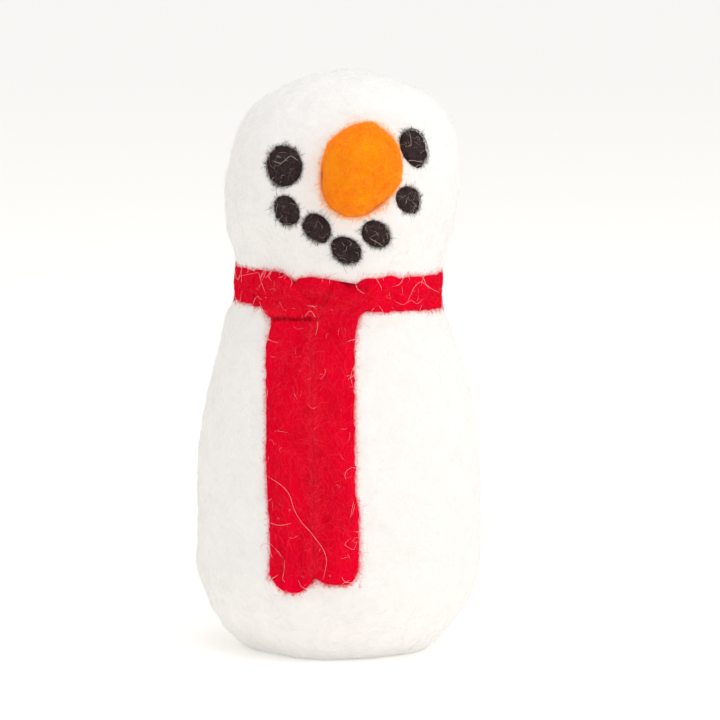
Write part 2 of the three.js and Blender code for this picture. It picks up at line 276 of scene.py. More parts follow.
def wool_relief(across, up):
    """How far the white wool stands proud of the plain outline: soft lumps, the scarf's seat,
    and a hollow with a rounded rim under each face piece."""
    points = on_wool(across, up, 0)
    lumps = sum(height * MM * waves(points, size * MM, seed) for height, size, seed in WOOL_LUMPS)
    relief = lumps * rise((np.abs(up) - SEAT_HALF_WIDTH) / (2 * MM)) - seat_depth(up)
    if np.max(up) > SEAT_HALF_WIDTH:  # the face is on the head only
        for spot in dot_spots:
            away = spot.distance(across, up)
            relief = relief - DOT_HOLLOW * ease((away - 0.78) / 0.4)
        away = nose_spot.distance(across, up)
        relief = relief - NOSE_HOLLOW * ease((away - 0.88) / 0.17)
    return relief


# ---- Making meshes ----

def new_piece(name, points, faces, material, caps=()):
    """A smooth mesh object from an array of points, four-cornered faces and any caps."""
    mesh = bpy.data.meshes.new(name)
    caps = [list(map(int, cap)) for cap in caps]
    mesh.from_pydata(points.reshape(-1, 3), [], faces.tolist() + caps)
    mesh.update()
    mesh.polygons.foreach_set("use_smooth", np.ones(len(mesh.polygons), bool))
    mesh.materials.append(material)
    piece = bpy.data.objects.new(name, mesh)
    bpy.context.scene.collection.objects.link(piece)
    return piece


def ring_faces(rows, columns):
    """Four-cornered faces between neighbouring rings of `columns` points, each ring closed."""
    row, column = np.meshgrid(np.arange(rows - 1), np.arange(columns), indexing="ij")
    here = row * columns + column
    beside = row * columns + (column + 1) % columns
    return np.stack([here, beside, beside + columns, here + columns], axis=-1).reshape(-1, 4)


def closed_tube(rings):
    """Points and faces of a tube through `rings`, an array of rings, closed by a point in the
    middle of each end. Rings run anticlockwise seen from the last ring's end."""
    rows, columns = rings.shape[:2]
    middles = [rings[0].mean(axis=0), rings[-1].mean(axis=0)]
    points = np.concatenate([rings.reshape(-1, 3), middles])
    first, last = len(points) - 2, len(points) - 1
    column = np.arange(columns)
    beside = (column + 1) % columns
    top = (rows - 1) * columns
    start_cap = np.stack([column, np.full(columns, first), beside], axis=1)
    end_cap = np.stack([top + column, top + beside, np.full(columns, last)], axis=1)
    return points, ring_faces(rows, columns), np.concatenate([start_cap, end_cap])


def tube_piece(name, rings, material):
    """A smooth, closed mesh object through an array of rings."""
    points, sides, caps = closed_tube(rings)
    return new_piece(name, points, sides, material, caps)


def finish_piece(piece, slot, *nodes):
    """Puts a piece on the figure's one body, in place of its CAD nodes if any. Its slot is not
    used.
    """
    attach(piece, "root")
    if nodes:
        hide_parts(*nodes)
    return piece


# ---- Materials ----

FIBRE_LINES = 700.0  # patches of the noise that draws fibre lines, in a metre


def add_node(tree, kind, place, **values):
    """A new node of a kind, at a place in the editor, with its options set."""
    node = tree.nodes.new(kind)
    node.location = place
    for key, value in values.items():
        setattr(node, key, value)
    return node


def felt_group():
    """Felt: tangled fibre lines, which are the thin places where a warped noise crosses its
    middle value, over a soft mottle. Gives a colour and a height. Where the mottle is low,
    the height is low too and the colour turns darker: painted shade, over a random tone. The
    fibre lines, raised in the height, turn lighter: their own colour, partly painted highlight."""
    group = bpy.data.node_groups.new("felt", "ShaderNodeTree")
    sockets = group.interface
    for name, kind in (
        ("Wool", "NodeSocketColor"),
        ("Hollow Shade", "NodeSocketColor"),
        ("Fibres", "NodeSocketColor"),
        ("Mottle", "NodeSocketFloat"),
        ("Fibre Amount", "NodeSocketFloat"),
        ("Mottle Size", "NodeSocketFloat"),
        ("Fibre Size", "NodeSocketFloat"),
        ("Grain", "NodeSocketVector"),
    ):
        sockets.new_socket(name, in_out="INPUT", socket_type=kind)
    sockets.new_socket("Color", in_out="OUTPUT", socket_type="NodeSocketColor")
    sockets.new_socket("Height", in_out="OUTPUT", socket_type="NodeSocketFloat")
    links = group.links
    given = add_node(group, "NodeGroupInput", (-1400, 0))
    made = add_node(group, "NodeGroupOutput", (900, 0))
    place = add_node(group, "ShaderNodeTexCoord", (-1400, 300))
    stretch = add_node(group, "ShaderNodeVectorMath", (-1150, 200), operation="MULTIPLY")
    links.new(place.outputs["Object"], stretch.inputs[0])
    links.new(given.outputs["Grain"], stretch.inputs[1])

    def noise(size, detail, distortion, height):
        """Noise of a size, stretched along the grain."""
        node = add_node(group, "ShaderNodeTexNoise", (-900, height))
        node.inputs["Detail"].default_value = detail
        node.inputs["Roughness"].default_value = 0.55
        node.inputs["Distortion"].default_value = distortion
        links.new(stretch.outputs[0], node.inputs["Vector"])
        links.new(size, node.inputs["Scale"])
        return node.outputs["Fac"]

    def arithmetic(operation, a, b, height, column, clamp=False):
        """One sum on two values, each a socket or a number."""
        node = add_node(group, "ShaderNodeMath", (column, height), operation=operation)
        node.use_clamp = clamp
        for socket, value in zip(node.inputs, (a, b)):
            if isinstance(value, (int, float)):
                socket.default_value = value
            elif value is not None:
                links.new(value, socket)
        return node.outputs[0]

    def lines(field, width, height):
        """1 along the middle of a line, falling to 0 at its sides."""
        off = arithmetic("SUBTRACT", field, 0.5, height, -650)
        away = arithmetic("ABSOLUTE", off, None, height, -500)
        share = arithmetic("DIVIDE", away, width, height, -350)
        return arithmetic("SUBTRACT", 1.0, share, height, -200, clamp=True)

    mottle = noise(given.outputs["Mottle Size"], 4.0, 0.3, 300)
    fine = arithmetic("MULTIPLY", given.outputs["Fibre Size"], 1.9, -300, -1150)
    tangle_a = lines(noise(given.outputs["Fibre Size"], 1.5, 2.2, 0), 0.035, 0)
    tangle_b = lines(noise(fine, 1.0, 1.6, -300), 0.05, -300)
    tangle = arithmetic("MAXIMUM", tangle_a, tangle_b, -150, 0)

    spread = add_node(group, "ShaderNodeMapRange", (-200, 300))
    spread.inputs["From Min"].default_value = 0.32
    spread.inputs["From Max"].default_value = 0.62
    links.new(mottle, spread.inputs["Value"])
    # Painted shade: where the mottle is low, and so the height too, the colour turns towards the
    # darker hollow colour. The mottle is also a random tone.
    depth = arithmetic("SUBTRACT", 1.0, spread.outputs[0], 300, 0)
    depth = arithmetic("MULTIPLY", depth, given.outputs["Mottle"], 300, 150)
    tone = add_node(group, "ShaderNodeMix", (350, 300), data_type="RGBA")
    links.new(depth, tone.inputs["Factor"])
    links.new(given.outputs["Wool"], tone.inputs["A"])
    links.new(given.outputs["Hollow Shade"], tone.inputs["B"])
    # Painted highlight, in part: the raised fibre lines take the lighter fibre colour, which is
    # partly the fine fibres' own.
    share = arithmetic("MULTIPLY", tangle, given.outputs["Fibre Amount"], 50, 200)
    fibre_and_highlight = add_node(group, "ShaderNodeMix", (600, 200), data_type="RGBA")
    links.new(share, fibre_and_highlight.inputs["Factor"])
    links.new(tone.outputs["Result"], fibre_and_highlight.inputs["A"])
    links.new(given.outputs["Fibres"], fibre_and_highlight.inputs["B"])
    links.new(fibre_and_highlight.outputs["Result"], made.inputs["Color"])
    raised = arithmetic("MULTIPLY", tangle, 0.5, -150, 400)
    height = arithmetic("ADD", raised, mottle, -150, 600)
    links.new(height, made.inputs["Height"])
    return group


FELT = felt_group()


def wool_material(name, wool, hollow_shade, fibres, mottle, fibre_amount,
                  grain=(1, 1, 1), sheen=0.0, bump=0.12 * MM, mottle_size=160.0):
    """Matt felt of one wool: its colour, a darker colour painted into its low places as shade,
    and the colour of its finest fibres, partly a painted highlight, with how strongly the last
    two show and how many patches it has in a metre."""
    material = bpy.data.materials.new(name)
    material.use_nodes = True
    tree = material.node_tree
    shader = tree.nodes["Principled BSDF"]
    felt = add_node(tree, "ShaderNodeGroup", (-500, 100), node_tree=FELT)
    values = {
        "Wool": (*wool, 1),
        "Hollow Shade": (*hollow_shade, 1),
        "Fibres": (*fibres, 1),
        "Mottle": mottle,
        "Fibre Amount": fibre_amount,
        "Mottle Size": mottle_size,
        "Fibre Size": FIBRE_LINES,
        "Grain": grain,
    }
    for socket, value in values.items():
        felt.inputs[socket].default_value = value
    relief = add_node(tree, "ShaderNodeBump", (-250, -200))
    relief.inputs["Distance"].default_value = bump
    relief.inputs["Strength"].default_value = 0.6
    tree.links.new(felt.outputs["Height"], relief.inputs["Height"])
    tree.links.new(relief.outputs["Normal"], shader.inputs["Normal"])
    tree.links.new(felt.outputs["Color"], shader.inputs["Base Color"])
    shader.inputs["Roughness"].default_value = 0.95
    shader.inputs["Specular IOR Level"].default_value = 0
    shader.inputs["Sheen Weight"].default_value = sheen
    shader.inputs["Sheen Roughness"].default_value = 0.5
    shader.inputs["Sheen Tint"].default_value = (*fibres, 1)
    return material


def mix_in_stray_wool(material, colours):
    """Mixes coloured wool into the white, as much as the mesh says at each place."""
    tree = material.node_tree
    shader = tree.nodes["Principled BSDF"]
    colour = shader.inputs["Base Color"].links[0].from_socket
    for number, (name, value) in enumerate(colours.items()):
        amount = add_node(tree, "ShaderNodeAttribute", (-700, -400 - 200 * number),
                          attribute_name="stray_" + name)
        blend = add_node(tree, "ShaderNodeMix", (-200, 500 + 200 * number), data_type="RGBA")
        tree.links.new(amount.outputs["Fac"], blend.inputs["Factor"])
        tree.links.new(colour, blend.inputs["A"])
        blend.inputs["B"].default_value = (*value, 1)
        colour = blend.outputs["Result"]
    tree.links.new(colour, shader.inputs["Base Color"])


def fibre_material(name, dark, light, glow=0.15):
    """A wool fibre, with its own tone between dark and light kept in the mesh. A fibre is thin
    enough for light to pass through it, and a faint glow of its own colour stands in for that."""
    material = bpy.data.materials.new(name)
    material.use_nodes = True
    tree = material.node_tree
    shader = tree.nodes["Principled BSDF"]
    tone = add_node(tree, "ShaderNodeAttribute", (-600, 100), attribute_name="tone")
    blend = add_node(tree, "ShaderNodeMix", (-300, 100), data_type="RGBA")
    blend.inputs["A"].default_value = (*dark, 1)
    blend.inputs["B"].default_value = (*light, 1)
    tree.links.new(tone.outputs["Fac"], blend.inputs["Factor"])
    tree.links.new(blend.outputs["Result"], shader.inputs["Base Color"])
    tree.links.new(blend.outputs["Result"], shader.inputs["Emission Color"])
    shader.inputs["Emission Strength"].default_value = glow
    shader.inputs["Roughness"].default_value = 0.8
    shader.inputs["Specular IOR Level"].default_value = 0.03
    return material


# Each wool's second colour is painted shade for its low places. Its third is the colour of its
# fine fibres, partly a painted highlight.
WHITE_WOOL = wool_material(
    "white_wool", (0.9, 0.885, 0.86), (0.8, 0.77, 0.74), (0.95, 0.94, 0.92),
    mottle=0.2, fibre_amount=0.2, sheen=0.3, bump=0.06 * MM, mottle_size=260.0)
CORE_WOOL = wool_material(
    "core_wool", (0.72, 0.66, 0.55), (0.5, 0.44, 0.35), (0.8, 0.76, 0.66),
    mottle=0.6, fibre_amount=0.4)
ORANGE_WOOL = wool_material(
    "orange_wool", (1.0, 0.34, 0.001), (0.96, 0.16, 0.001), (1.0, 0.5, 0.03),
    mottle=0.9, fibre_amount=0.3, sheen=0.4, mottle_size=190.0)
BLACK_WOOL = wool_material(
    "black_wool", (0.04, 0.025, 0.026), (0.02, 0.013, 0.013), (0.16, 0.12, 0.12),
    mottle=0.7, fibre_amount=0.3, mottle_size=500.0)
RED_WOOL = wool_material(
    "red_wool", (0.84, 0.001, 0.024), (0.6, 0.001, 0.015), (0.9, 0.008, 0.05),
    mottle=0.75, fibre_amount=0.4, grain=(1, 1, 0.25), mottle_size=420.0)
mix_in_stray_wool(WHITE_WOOL, {"red": (0.8, 0.02, 0.05), "orange": (1.0, 0.5, 0.15),
                               "dark": (0.06, 0.045, 0.045)})

WHITE_FIBRE = fibre_material("white_fibre", (0.88, 0.87, 0.85), (0.97, 0.96, 0.95), glow=0.1)
ORANGE_FIBRE = fibre_material("orange_fibre", (0.98, 0.22, 0.001), (1.0, 0.5, 0.06))
BLACK_FIBRE = fibre_material("black_fibre", (0.03, 0.02, 0.02), (0.14, 0.09, 0.09), glow=0.0)
RED_FIBRE = fibre_material("red_fibre", (0.78, 0.001, 0.02), (0.9, 0.05, 0.1))
PALE_FIBRE = fibre_material("pale_fibre", (0.95, 0.3, 0.34), (0.9, 0.7, 0.66), glow=0.1)
GREY_FIBRE = fibre_material("grey_fibre", (0.3, 0.24, 0.22), (0.85, 0.78, 0.6), glow=0.05)


# ---- White wool and its cores ----

COLUMNS = 360  # points in each ring of the covers
BODY_ROWS, HEAD_ROWS, SEAT_ROWS, SOLE_ROWS, INNER_ROWS = 200, 215, 16, 14, 24
COVER_GAP = 0.3 * MM  # between the two covers, and between a cover and its core
CROWN_HOLE = 0.2 * MM  # how far from the crown its rings stop

# How much coloured wool is mixed in just outside an edge, and how far it reaches.
STRAY_FADE = {"red": (0.75, 0.45 * MM), "orange": (0.55, 0.9 * MM), "dark": (0.3, 0.35 * MM)}


def front_dense(columns):
    """Angles round the figure, closer together at the front, where the face and scarf are."""
    turn = np.linspace(-np.pi, np.pi, columns, endpoint=False)
    return turn - 0.45 * np.sin(turn)


def cover(ups, inner_ups):
    """The two skins of a shell of wool. The outer skin stands on the outline by the wool's
    relief, and the inner skin lies a wall's thickness behind it."""
    angle = front_dense(COLUMNS)
    up = ups[:, None]
    across = angle * radius_at(up)
    outer = on_wool(across, up, wool_relief(across, up))
    inner_up = inner_ups[:, None]
    inner_across = angle * radius_at(inner_up)
    inner = on_wool(inner_across, inner_up, -seat_depth(inner_up) - COVER_WALL)
    return outer, inner, stray_wool(across, up)


def stray_wool(across, up):
    """How much coloured wool is mixed into the white at each place: all under and beside the
    scarf, the nose and the dots, fading out a little way past their edges."""
    across, up = np.broadcast_arrays(across, up)
    patchy = 1 + 0.25 * waves(flat_place(across, up), 1.2 * MM, 81)
    outside = {
        "red": np.minimum.reduce(outside_scarf(across, up)),
        "orange": nose_spot.outside(across, up),
        "dark": np.minimum.reduce([spot.outside(across, up) for spot in dot_spots]),
    }
    amounts = {}
    for name, (amount, reach) in STRAY_FADE.items():
        away = np.maximum(outside[name], 0) / (reach * patchy)
        amounts[name] = np.where(outside[name] < 0, 1, amount * np.exp(-2 * away))
    return amounts


def keep_stray_wool(piece, strays, before, after):
    """Keeps the amounts in the mesh, with none on the points before and after the outer skin."""
    for name, amount in strays.items():
        values = np.concatenate([np.zeros(before), amount.ravel(), np.zeros(after)])
        kept = piece.data.attributes.new("stray_" + name, "FLOAT", "POINT")
        kept.data.foreach_set("value", values.astype(np.float32))


def body_cover():
    """The body's felt: its sole, the outer skin up to the pinch of the neck, and the inner skin
    back down to its floor."""
    ups = np.concatenate([
        np.linspace(-BODY_LENGTH, -SEAT_HALF_WIDTH, BODY_ROWS),
        np.linspace(-SEAT_HALF_WIDTH, 0, SEAT_ROWS)[1:],
    ])
    outer, inner, strays = cover(ups, np.linspace(-0.92 * BODY_LENGTH, 0, INNER_ROWS))
    sole = outer[0] * np.linspace(0, 1, SOLE_ROWS)[1:-1, None, None]
    sole[..., 2] = 0
    outer[..., 2] = np.maximum(outer[..., 2], 0)
    inner[..., 2] = np.maximum(inner[..., 2], COVER_WALL)
    piece = tube_piece("body_felt", np.concatenate([sole, outer, inner[::-1]]), WHITE_WOOL)
    keep_stray_wool(piece, strays, sole[..., 0].size, inner[..., 0].size + 2)
    return finish_piece(piece, "white_wool", "body_cover")


def head_cover():
    """The head's felt: its inner skin from the crown down, and its outer skin back up."""
    crown = HEAD_LENGTH - CROWN_HOLE
    ups = np.concatenate([
        np.linspace(COVER_GAP, SEAT_HALF_WIDTH, SEAT_ROWS)[:-1],
        np.linspace(SEAT_HALF_WIDTH, crown, HEAD_ROWS),
    ])
    outer, inner, strays = cover(ups, np.linspace(COVER_GAP, crown, INNER_ROWS))
    piece = tube_piece("head_felt", np.concatenate([inner[::-1], outer]), WHITE_WOOL)
    keep_stray_wool(piece, strays, inner[..., 0].size, 2)
    return finish_piece(piece, "white_wool", "head_cover")


def core(name, node, low, high):
    """A firm core between two places along the wool: the outline moved in by the wall of the
    cover and a gap, with shallow lumps."""
    inset = COVER_WALL + COVER_GAP
    angle = np.linspace(-np.pi, np.pi, 120, endpoint=False)
    up = np.linspace(low, high, 60)[:, None]
    points = on_wool(angle * radius_at(up), up, -seat_depth(up) - inset)
    points[..., 2] = np.maximum(points[..., 2], inset)
    bumps = 0.12 * MM * (1 + waves(points, 4 * MM, 9))
    points[..., :2] *= (1 - bumps / NECK_RADIUS)[..., None]
    return finish_piece(tube_piece(name, points, CORE_WOOL), "core_wool", node)


# ---- Face ----

DOT_COLUMNS, DOT_ROWS = 96, 41
NOSE_COLUMNS, NOSE_ROWS = 240, 161


def dot(spot, seed):
    """A pad of black wool needled into its hollow: a disc of rings about its middle, whose top
    is a low dome and whose underside follows the hollow. Its edge wanders in and out."""
    turn = np.linspace(0, 2 * np.pi, DOT_COLUMNS, endpoint=False)
    level = np.linspace(-1, 1, DOT_ROWS)[1:-1, None]
    edge = np.stack([np.cos(turn), np.sin(turn)], axis=-1)
    wander = 1 + 0.035 * waves(edge, 0.55, seed) + 0.03 * waves(edge, 0.17, seed + 50)
    reach = np.cos(level * np.pi / 2) ** 0.5 * wander
    across, up = spot.at(reach * np.cos(turn), reach * np.sin(turn))
    bed = wool_relief(across, up) + CLEAR
    dome = np.sin(np.maximum(level, 0) * np.pi / 2) ** 0.8
    bumps = 0.05 * MM * waves(flat_place(across, up), 0.8 * MM, seed + 9)
    top = (DOT_RISE + bumps) * dome
    out = np.where(level < 0, bed, np.maximum(bed + 0.02 * MM, mix(bed, top, dome)))
    points = on_wool(across, up, out)
    return tube_piece(spot.node + "_felt", points, BLACK_WOOL)


def nose_frame():
    """The nose's seat on the head and the directions across it, along it and out of it."""
    seat = on_wool(nose_spot.across, nose_spot.up, -NOSE_SEAT)
    out = on_wool(nose_spot.across, nose_spot.up, 0) - seat
    out /= np.linalg.norm(out)
    side = np.array([-out[1], out[0], 0])
    side /= np.linalg.norm(side)
    up = np.cross(out, side)
    c, s = np.cos(nose_spot.tilt), np.sin(nose_spot.tilt)
    return seat, side * c + up * s, up * c - side * s, out


def nose_point(level, turn):
    """A point of the nose at `level`, from -1 at its back through 0 at its widest to 1 at its
    tip, and `turn` round it: an egg, fuller towards its upper end, with a low peak there."""
    seat, side, length, out = nose_frame()
    ring = np.cos(level * np.pi / 2) ** 0.92
    depth = np.sin(level * np.pi / 2)
    unit = np.stack(np.broadcast_arrays(ring * np.cos(turn), ring * np.sin(turn), depth), axis=-1)
    x = nose_spot.half_width * (1 + 0.06 * np.sin(turn)) * unit[..., 0]
    peak = NOSE_PEAK * hump(unit[..., 0], -0.15, 0.22) * np.clip(unit[..., 1], 0, 1) ** 6
    y = nose_spot.half_length * unit[..., 1] + peak
    z = np.where(level > 0, NOSE_DEPTH, NOSE_BACK) * unit[..., 2]
    centre = x[..., None] * side + y[..., None] * length + z[..., None] * out
    lumps = (0.16 * waves(unit, 0.5, 71) + 0.07 * waves(unit, 0.2, 72)) * MM
    return seat + centre + unit_direction(centre) * lumps[..., None]


def nose():
    """The whole egg, from the pole at its back to the pole at its tip."""
    turn = np.linspace(0, 2 * np.pi, NOSE_COLUMNS, endpoint=False)
    level = np.linspace(-1, 1, NOSE_ROWS)[1:-1, None]
    return tube_piece("nose_felt", nose_point(level, turn), ORANGE_WOOL)


# ---- Scarf ----

# All of the scarf lies on the wool, so its edges are places across and up from the pinch of
# the neck under the front. Its face stands this far proud of the plain outline.
BAND_FACE = SCARF_THICKNESS - SCARF_SEAT + 0.3 * MM
FLAP_FACE = 1.3 * MM
TAIL_FACE = 1.05 * MM
THINNEST = 0.05 * MM  # how thin a strip gets where it joins another

HALF_WIDTH = SCARF_WIDTH / 2
BAND_REACH = 48 * MM  # half of the way round the neck
KNOT_LEFT = -8.8 * MM  # the two dips in the band's upper edge, at the ends of the knot
KNOT_RIGHT = 0.2 * MM
FLAP_START = -16.4 * MM
FLAP_TIP = -4.2 * MM
RIGHT_TAIL_TOP = HALF_WIDTH + 0.1 * MM
TAIL_MIDDLE = -2.5 * MM  # where the two tails meet at their top
TAIL_END = -44 * MM

BAR_SQUARENESS = 4  # 2 gives a felt strip an oval section, more a flatter one
TIGHT_SQUARENESS = 120
TIGHT_GAP = 0.012 * MM
CREASE_GAP = 0.12 * MM
CREASE_ROUNDING = 0.15 * MM  # where the left tail starts to round up, under the crossing strand
TIP_ROUNDING = 0.8 * MM
FOOT_ROUNDING = 1.2 * MM


def hump(value, middle, reach):
    """A smooth hump of height 1 at the middle, which dies out over `reach` on either side."""
    return np.exp(-((value - middle) / reach) ** 2)


def bar(sideways, tight_side=0):
    """How full a strip's section is, 1 along its middle and 0 at its edges. On its tight side,
    -1 or 1, where it is pressed against its neighbour, it stays full almost to the edge."""
    squareness = np.where(sideways * tight_side > 0, TIGHT_SQUARENESS, BAR_SQUARENESS)
    return (1 - np.abs(np.clip(sideways, -1, 1)) ** squareness) ** 0.5


def end_fullness(distance, reach):
    """How full a strip is near its end: 0 at the end, rounding up to 1 at `reach` from it."""
    return 1 - (1 - np.clip(distance / reach, 0, 1)) ** 3


def strip_section(columns, crowding):
    """Shares sideways, from 1 to -1 over a strip's face and back underneath, crowded towards
    its edges, and which of them are on its face."""
    turn = np.linspace(0, 2 * np.pi, columns, endpoint=False)
    cosine = np.cos(turn)
    return np.sign(cosine) * np.abs(cosine) ** crowding, np.sin(turn) > 0


def ragged(run, sideways, seed):
    """How far a strip's edges wander in and out along its run."""
    wander = 0.09 * MM * waves(flat_place(run, sideways * 5 * MM), 1.0 * MM, seed)
    return wander * sideways * np.abs(sideways) ** 4


def felt_lumps(across, up, seed):
    """Soft lumps in a strip's face."""
    place = flat_place(across, up)
    return (0.09 * waves(place, 2.6 * MM, seed) + 0.035 * waves(place, 0.9 * MM, seed + 1)) * MM


def wool_bed(across, up):
    """The white wool, with room for the scarf to lie on it."""
    return wool_relief(across, up) + CLEAR


def band_edges(across):
    """The band's lower and upper edge. The upper one dips at the two ends of the knot."""
    knot = rise((across + 10 * MM) / (1.5 * MM)) * ease((across - 0.5 * MM) / (3 * MM))
    front = hump(across, 0, 30 * MM)
    upper = HALF_WIDTH + (0.2 + 0.45 * front - 0.45 * knot) * MM
    upper -= 1.15 * MM * hump(across, KNOT_LEFT, 0.9 * MM)
    upper -= 1.3 * MM * hump(across, KNOT_RIGHT, 1.7 * MM)
    lower = -HALF_WIDTH + 0.2 * MM * front
    wander = flat_place(across, 0)
    seam = ease((np.abs(across) - 40 * MM) / (10 * MM))  # so the ring's two ends agree
    lower += 0.1 * MM * waves(wander, 1.6 * MM, 31) * seam
    upper += 0.1 * MM * waves(wander, 1.6 * MM, 32) * seam
    return lower, upper


def band_face(across, up):
    """How far the band's face stands out at this place. It falls to its bed at its edges."""
    lower, upper = band_edges(across)
    sideways = 2 * (up - lower) / (upper - lower) - 1
    face = BAND_FACE + felt_lumps(across, up, 33)
    return mix(wool_bed(across, up), face, bar(sideways))


def on_band(across, up):
    """The top of the band under a strip that crosses it, and the wool on either side."""
    lower, upper = band_edges(across)
    over_band = np.where((up > lower) & (up < upper), band_face(across, up) + CLEAR, -1)
    return np.maximum(wool_bed(across, up), over_band)


def neck_band():
    """The band is a ring: its flattened section is carried round the neck in its seat."""
    angle = np.linspace(-np.pi, np.pi, 420, endpoint=False)[:, None]
    sideways, on_face = strip_section(60, 0.5)
    lower, upper = band_edges(angle * NECK_RADIUS)
    up = mix(lower, upper, (sideways + 1) / 2)
    across = angle * radius_at(up)
    bed = wool_bed(across, up)
    out = np.where(on_face, np.maximum(band_face(across, up), bed + 0.1 * MM), bed)
    rings = on_wool(across, up, out)
    rows, columns = rings.shape[:2]
    faces = ring_faces(rows + 1, columns) % (rows * columns)
    return new_piece("scarf_band_felt", rings, faces, RED_WOOL)


def flap_edges(across):
    """The crossing strand's lower and upper edge. It leaves the band at the left and narrows
    to its tip, which tucks in beside the right tail."""
    lower = -1.9 * MM - 2.2 * MM * rise((across + 15.5 * MM) / (3.6 * MM))
    lower = lower + 0.05 * (across + 12 * MM)
    upper = 3.1 * MM - 5.1 * MM * rise((across + 11.5 * MM) / (8.3 * MM))
    return lower, upper


def flap_face(across, up):
    """How far the crossing strand stands out. It rises out of the band at the left."""
    lower, upper = flap_edges(across)
    sideways = 2 * (up - lower) / (upper - lower) - 1
    leaving = rise((across + 16.5 * MM) / (5 * MM))
    under = on_band(across, up)
    face = mix(under + THINNEST, FLAP_FACE, leaving) + felt_lumps(across, up, 41)
    return mix(under, np.maximum(face, under), bar(sideways, -1))


def flap_stop(up):
    """Where the crossing strand's tip meets the right tail."""
    return right_tail_edges(up)[0] - TIGHT_GAP


def flap():
    """The crossing strand: rings across it, carried from the band at the left to its tip."""
    sideways, on_face = strip_section(72, 0.45)
    share = np.linspace(0, 1, 160)[:, None]
    lower, upper = flap_edges(mix(FLAP_START, FLAP_TIP, share))
    stop = flap_stop(mix(lower, upper, (sideways + 1) / 2))
    across = mix(FLAP_START, stop, share)
    lower, upper = flap_edges(across)
    up = mix(lower, upper, (sideways + 1) / 2) + ragged(across, sideways, 47)
    under = on_band(across, up)
    face = mix(under, flap_face(across, up), end_fullness(stop - across, TIP_ROUNDING))
    points = on_wool(across, up, np.where(on_face, face, under))
    return tube_piece("scarf_crossing_felt", points, RED_WOOL)


def right_tail_edges(up):
    """The right tail's two sides. It starts on the band, swings left to meet the left tail,
    and its right side flares into the band."""
    left = TAIL_MIDDLE - 3.3 * MM * rise((1.5 * MM - up) / (9.5 * MM))
    flare = 1.3 * MM * np.exp(np.minimum(up + 2.7 * MM, 1.2 * MM) / (4 * MM))
    corner = 0.4 * MM * np.exp(np.minimum((up + 2.6 * MM) / (0.5 * MM), 2))
    bulge = 0.55 * MM * rise((-29.5 * MM - up) / (3 * MM))
    return left, 0.25 * MM + flare + corner + bulge


def left_tail_edges(up):
    """The left tail's two sides. Its right side lies against the right tail."""
    left = -12.5 * MM - 0.95 * MM * rise((-4 * MM - up) / (5 * MM))
    left = left + 0.6 * MM * rise((-27 * MM - up) / (10 * MM))
    return left, right_tail_edges(up)[0] - TIGHT_GAP


def left_tail_top(across):
    """Where the left tail starts, just under the crossing strand."""
    return flap_edges(across)[0] - CREASE_GAP


def left_tail_full(across):
    """Where the left tail's face starts to round up."""
    return flap_edges(across)[0] - CREASE_ROUNDING


def right_tail_top(across):
    """Where the right tail starts, near the band's upper edge."""
    return np.minimum(RIGHT_TAIL_TOP, band_edges(across)[1] - 0.4 * MM)


def left_tail_bottom(sideways):
    """The left tail's lower end, a round one, at a share sideways from -1 to 1."""
    return (-45.3 + np.where(sideways < 0, 2.6, 2.5) * np.abs(sideways) ** 2.4) * MM


def right_tail_bottom(sideways):
    """The right tail's lower end: flat, with rounded corners."""
    corners = np.where(sideways > 0, 2.3 * np.abs(sideways) ** 4.5, 1.2 * np.abs(sideways) ** 3)
    return (-43.9 + corners) * MM


# Needle dimples in the tails, in millimetres: across, up, and how deep.
DIMPLES = [
    (-9.7, -22.0, 0.63), (-8.1, -19.3, 0.42), (-5.6, -24.0, 0.42), (-4.1, -34.0, 0.56),
    (-8.1, -37.4, 0.56), (-6.4, -28.5, 0.35), (-10.6, -31.0, 0.35), (-3.1, -17.0, 0.28),
]


def tail_dimples(across, up):
    """How deep the needle dimples are at this place: humps, longer than they are wide."""
    return sum(depth * MM * hump(np.hypot(across - x * MM, (up - y * MM) * 0.6), 0, 0.7 * MM)
               for x, y, depth in DIMPLES)


